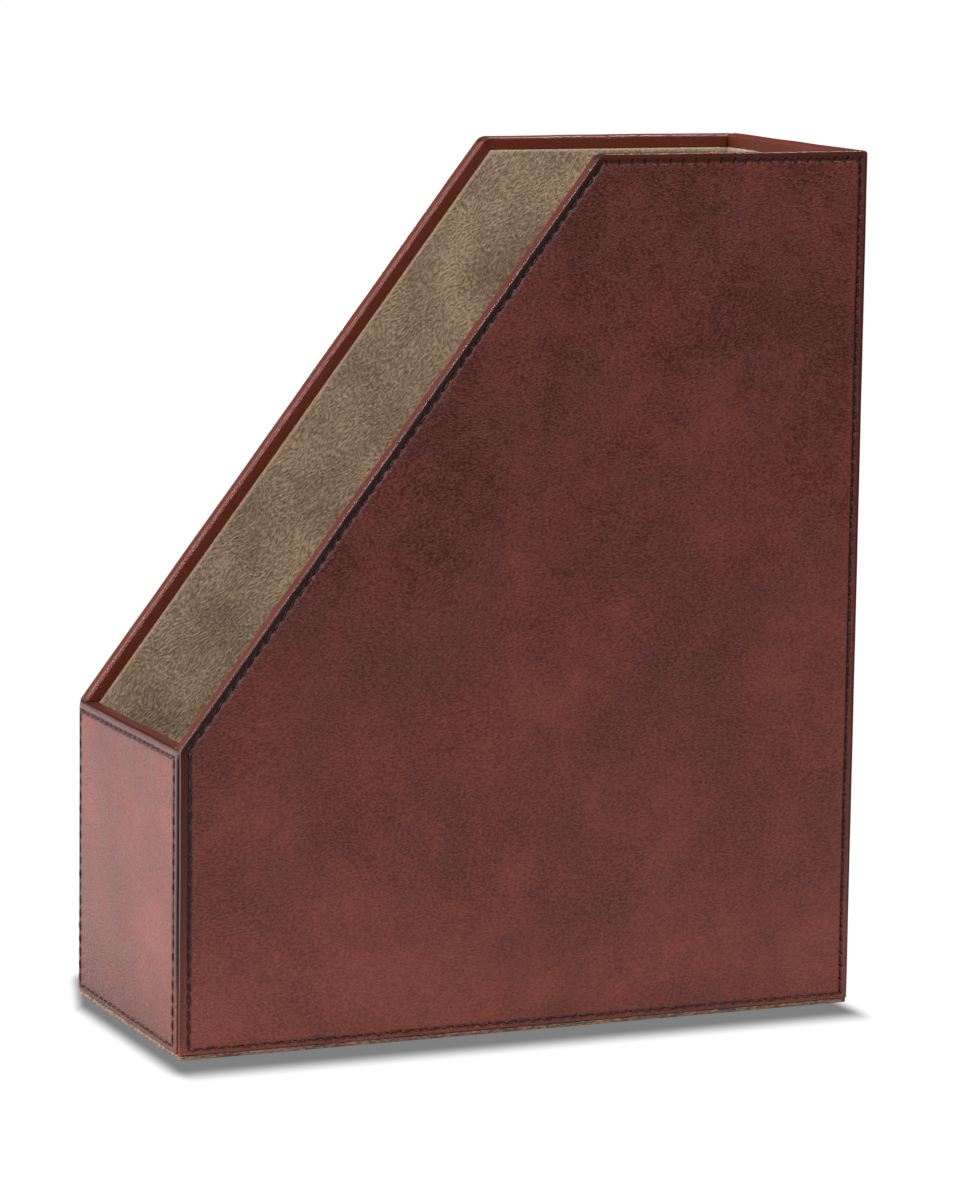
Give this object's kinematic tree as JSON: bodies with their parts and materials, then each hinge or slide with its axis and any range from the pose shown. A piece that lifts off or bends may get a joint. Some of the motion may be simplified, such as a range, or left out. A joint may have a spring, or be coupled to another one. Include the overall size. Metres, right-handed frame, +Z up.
{
  "type": "magazine file",
  "caption": "Open-topped desk file for magazines and papers: a stitched leather box with a tall back, sides that slope down to a low front, and a suede lining.",
  "frame": {"origin": "middle of the underside, on the surface that the file stands on", "axes": "+Z up, along the file's height; -Y towards the low front wall, +Y towards the tall back wall; X across the narrow width, with the side walls at -X and +X"},
  "size_m": [0.112, 0.267, 0.32],
  "materials": {
    "cover_leather": "waxed, semi-gloss",
    "suede": "napped, matte",
    "thread": "waxed",
    "greyboard": "raw",
    "sole_leather": "raw"
  },
  "bodies": {
    "root": {"right_side_board": "greyboard", "right_side_leather": "cover_leather", "right_side_stitching": "thread", "right_side_lining": "suede", "left_side_board": "greyboard", "left_side_leather": "cover_leather", "left_side_stitching": "thread", "left_side_lining": "suede", "front_board": "greyboard", "front_leather": "cover_leather", "front_stitching": "thread", "front_lining": "suede", "back_board": "greyboard", "back_leather": "cover_leather", "back_stitching": "thread", "back_lining": "suede", "base_board": "greyboard", "base_lining": "suede", "sole_leather": "sole_leather"}
  },
  "joints": []
}
